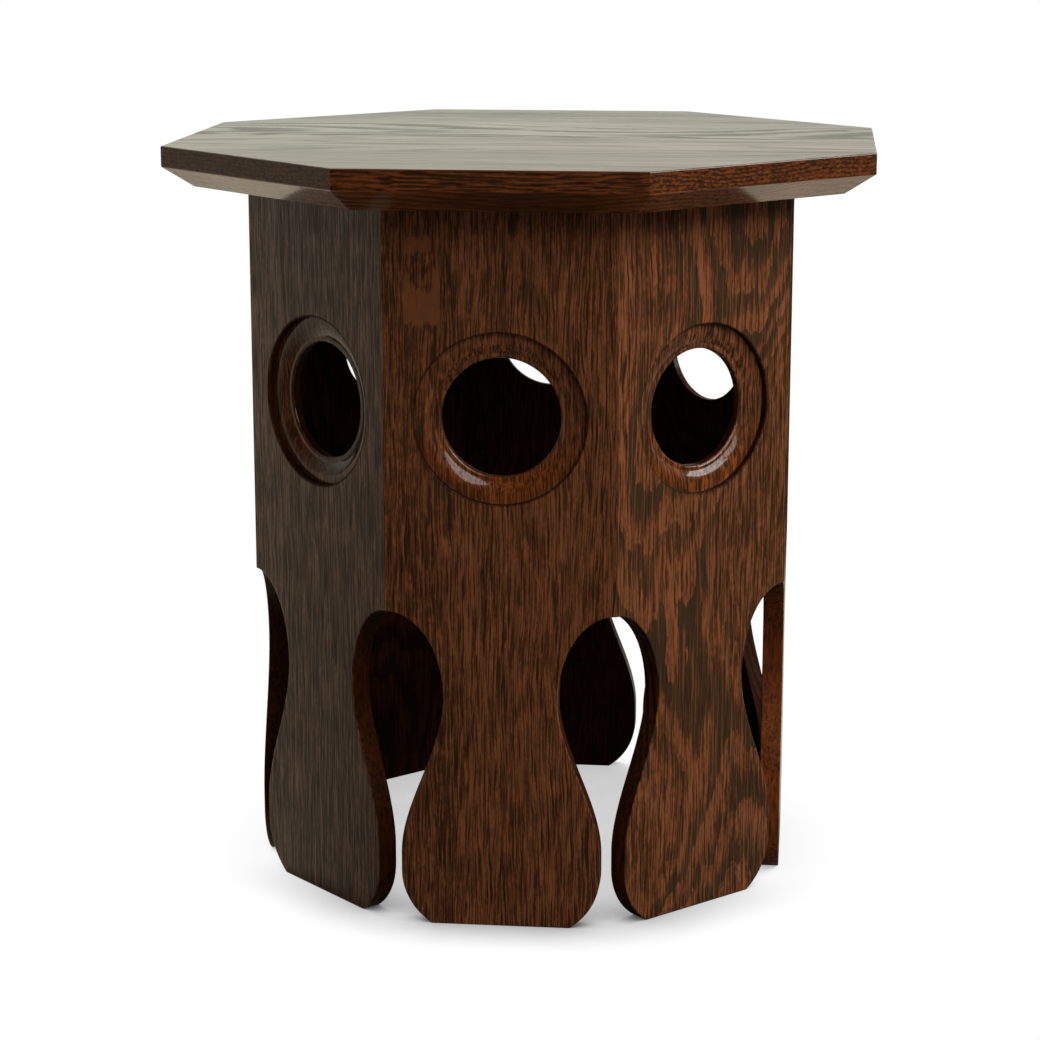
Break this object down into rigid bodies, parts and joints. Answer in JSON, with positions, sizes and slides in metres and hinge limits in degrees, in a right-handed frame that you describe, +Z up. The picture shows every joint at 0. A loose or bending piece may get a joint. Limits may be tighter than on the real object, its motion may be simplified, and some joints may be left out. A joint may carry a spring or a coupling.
{
  "type": "tabouret",
  "caption": "Octagonal oak tabouret: mitred boards ending in paddle legs, round moulded windows, arched gaps between the legs and a bevelled overhanging top.",
  "frame": {"origin": "on the floor under the middle of the top", "axes": "+Z up, side panel 1 faces -Y, +X to its right"},
  "size_m": [0.473, 0.473, 0.508],
  "materials": {
    "top_oak": "satin",
    "side_oak": "satin",
    "inner_oak": "matte",
    "screw_steel": "dull"
  },
  "bodies": {
    "root": {"side_panel_1": "side_oak", "side_panel_2": "side_oak", "side_panel_3": "side_oak", "side_panel_4": "side_oak", "side_panel_5": "side_oak", "side_panel_6": "side_oak", "side_panel_7": "side_oak", "side_panel_8": "side_oak", "mitre_spline_1": "inner_oak", "mitre_spline_2": "inner_oak", "mitre_spline_3": "inner_oak", "mitre_spline_4": "inner_oak", "mitre_spline_5": "inner_oak", "mitre_spline_6": "inner_oak", "mitre_spline_7": "inner_oak", "mitre_spline_8": "inner_oak", "corner_block_1": "inner_oak", "corner_block_2": "inner_oak", "corner_block_3": "inner_oak", "corner_block_4": "inner_oak", "corner_block_5": "inner_oak", "corner_block_6": "inner_oak", "corner_block_7": "inner_oak", "corner_block_8": "inner_oak", "top_cleat_1": "inner_oak", "top_cleat_2": "inner_oak", "top_cleat_3": "inner_oak", "top_cleat_4": "inner_oak", "top_dowels": "inner_oak", "top_board_front": "top_oak", "top_board_back": "top_oak", "cleat_panel_screws": "screw_steel", "cleat_top_screws": "screw_steel"}
  },
  "joints": []
}
